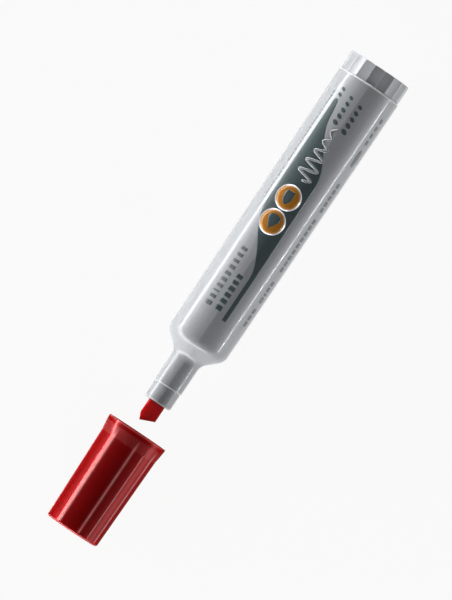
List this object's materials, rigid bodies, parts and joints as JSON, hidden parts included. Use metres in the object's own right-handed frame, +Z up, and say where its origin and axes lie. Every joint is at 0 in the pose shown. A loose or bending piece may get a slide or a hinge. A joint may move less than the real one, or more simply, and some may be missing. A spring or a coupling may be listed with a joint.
{
  "type": "felt tip marker",
  "caption": "Fat dry-wipe felt tip marker with a chisel nib, a fluted end plug and a faceted push-on cap, shown with the cap off.",
  "frame": {"origin": "on the surface that the marker lies on, below the middle of its whole length with the cap off", "axes": "+X along the marker from the end plug towards the nib and the cap, +Z up"},
  "size_m": [0.143, 0.018, 0.018],
  "materials": {
    "barrel_plastic": "silver pearl, glossy",
    "nib_felt": "dense fibre soaked in red ink",
    "reservoir_fibre": "bundled fibre soaked in red ink",
    "wrap_film": "thin film",
    "cap_plastic": "deep red, glossy",
    "liner_plastic": "deep red, satin",
    "print_dark": "slate printing ink",
    "print_accent": "amber printing ink",
    "print_pale": "silver printing ink"
  },
  "bodies": {
    "marker_body": {"barrel": "barrel_plastic", "nib_holder": "barrel_plastic", "chisel_nib": "nib_felt", "ink_reservoir": "reservoir_fibre", "reservoir_wrap": "wrap_film", "end_plug": "barrel_plastic"},
    "cap": {"cap_shell": "cap_plastic", "cap_liner": "liner_plastic"}
  },
  "joints": [
    {"name": "cap_slide", "type": "slide", "parent": "marker_body", "child": "cap", "axis": [-1, 0, 0], "range_m": [0, 0.02585]}
  ]
}
